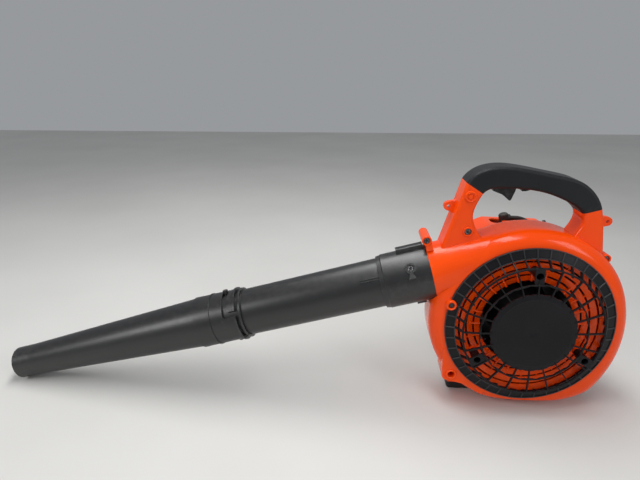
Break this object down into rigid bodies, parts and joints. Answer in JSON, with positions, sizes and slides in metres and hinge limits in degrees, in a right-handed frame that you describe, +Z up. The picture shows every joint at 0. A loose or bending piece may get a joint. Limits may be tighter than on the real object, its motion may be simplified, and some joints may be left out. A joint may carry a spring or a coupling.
{
  "type": "leaf blower",
  "caption": "Hand-held petrol leaf blower with a volute fan case, closed loop handle, trigger, slotted intake guard and a bayonet blowing tube.",
  "frame": {"origin": "on the ground, under the middle of the bounding box", "axes": "+Z up, -X along the blowing tube towards its nozzle, -Y towards the side with the intake guard"},
  "size_m": [0.9657, 0.2364, 0.3731],
  "materials": {
    "orange": "glossy moulded plastic",
    "black": "satin black plastic",
    "grip": "matte soft-touch skin",
    "guard": "matte dark grey plastic",
    "rubber": "matte rubber",
    "steel": "machined steel",
    "dark_steel": "blackened steel",
    "alloy": "as-cast alloy",
    "muffler_steel": "heat-stained sheet steel",
    "tank": "milky polyethylene",
    "clear_rubber": "translucent rubber",
    "foam": "open-cell foam",
    "ceramic": "glazed ceramic and plated steel",
    "cord": "braided cord",
    "phenolic": "moulded phenolic"
  },
  "bodies": {
    "housing": {"fan_case_front": "orange", "fan_case_rear": "orange", "engine_cover": "orange", "blower_tube": "black", "joint_sleeve": "black", "muffler_guard": "black", "filter_base": "black", "starter_case": "black", "handle_grip": "grip", "intake_guard": "guard", "plug_cap": "rubber", "rubber_feet": "rubber", "oil_seal_front": "rubber", "oil_seal_rear": "rubber", "throttle_cable": "rubber", "ht_lead": "rubber", "fuel_lines": "rubber", "bearing_front": "steel", "bearing_rear": "steel", "connecting_rod": "steel", "piston_pin": "steel", "trigger_pin": "steel", "cylinder_screws": "steel", "engine_screws": "steel", "trigger_spring": "steel", "starter_spring": "steel", "case_screws": "dark_steel", "guard_screws": "dark_steel", "sleeve_screw": "dark_steel", "starter_screws": "dark_steel", "ignition_coil": "dark_steel", "crankcase_front": "alloy", "crankcase_rear": "alloy", "cylinder": "alloy", "piston": "alloy", "carburettor": "alloy", "muffler": "muffler_steel", "fuel_tank": "tank", "filter_element": "foam", "spark_plug": "ceramic", "carb_insulator": "phenolic"},
    "rotor": {"impeller": "black", "impeller_nut": "steel", "crankshaft": "steel", "flywheel": "alloy", "flywheel_magnets": "steel", "starter_cup": "steel"},
    "trigger": {"throttle_trigger": "black"},
    "throttle": {"throttle_shaft": "steel"},
    "choke": {"choke_lever": "black"},
    "primer": {"primer_bulb": "clear_rubber"},
    "stop_button": {"stop_switch": "clear_rubber"},
    "tank_cap": {"fuel_cap": "black"},
    "filter_lid": {"filter_cover": "black"},
    "lid_knob": {"cover_knob": "black"},
    "reel": {"starter_reel": "black", "starter_pawl": "steel"},
    "pull_handle": {"starter_handle": "black", "starter_rope": "cord"},
    "outlet_nozzle": {"nozzle": "black"}
  },
  "joints": [
    {"name": "rotor_spin", "type": "hinge", "parent": "housing", "child": "rotor", "pos_m": [0.339, 0.023, 0.1456], "axis": [0, 1, 0], "continuous": true},
    {"name": "trigger_pull", "type": "hinge", "parent": "housing", "child": "trigger", "pos_m": [0.283, -0.053, 0.355], "axis": [0, -1, 0], "range_deg": [0, 16], "stiffness_Nm_per_rad": 0.25, "springref_deg": -28.65},
    {"name": "throttle_turn", "type": "hinge", "parent": "housing", "child": "throttle", "pos_m": [0.391, 0.043, 0.2], "axis": [0, 0, -1], "range_deg": [0, 75]},
    {"name": "choke_turn", "type": "hinge", "parent": "housing", "child": "choke", "pos_m": [0.409, 0.058, 0.236], "axis": [-1, 0, 0], "range_deg": [0, 50]},
    {"name": "primer_push", "type": "slide", "parent": "housing", "child": "primer", "axis": [0, -1, 0], "range_m": [0, 0.0035], "stiffness_N_per_m": 900, "springref_m": -0.001},
    {"name": "stop_slide", "type": "slide", "parent": "housing", "child": "stop_button", "axis": [0, 0, -1], "range_m": [0, 0.005]},
    {"name": "cap_turn", "type": "hinge", "parent": "housing", "child": "tank_cap", "pos_m": [0.291, 0.091, 0.06], "axis": [0, 1, 0], "range_deg": [0, 450]},
    {"name": "lid_pull", "type": "slide", "parent": "housing", "child": "filter_lid", "axis": [1, 0, 0], "range_m": [0, 0.06]},
    {"name": "lid_knob_turn", "type": "hinge", "parent": "filter_lid", "child": "lid_knob", "pos_m": [0.449, 0.043, 0.218], "axis": [1, 0, 0], "range_deg": [0, 720]},
    {"name": "starter_pull", "type": "slide", "parent": "housing", "child": "pull_handle", "axis": [0, 0, 1], "range_m": [0, 0.6], "stiffness_N_per_m": 15, "springref_m": -0.3, "deforming": ["starter_rope"]},
    {"name": "reel_spin", "type": "hinge", "parent": "housing", "child": "reel", "pos_m": [0.339, 0.098, 0.1456], "axis": [0, -1, 0], "range_deg": [0, 1440]},
    {"name": "nozzle_twist", "type": "hinge", "parent": "housing", "child": "outlet_nozzle", "pos_m": [-0.10515, -0.053, 0.12728], "axis": [-0.9641, 0, -0.2656], "range_deg": [0, 65]}
  ],
  "couplings": [
    {"joint": "throttle_turn", "follows": "trigger_pull", "ratio": 4.68},
    {"joint": "reel_spin", "follows": "starter_pull", "rad_per_m": 41.667}
  ]
}
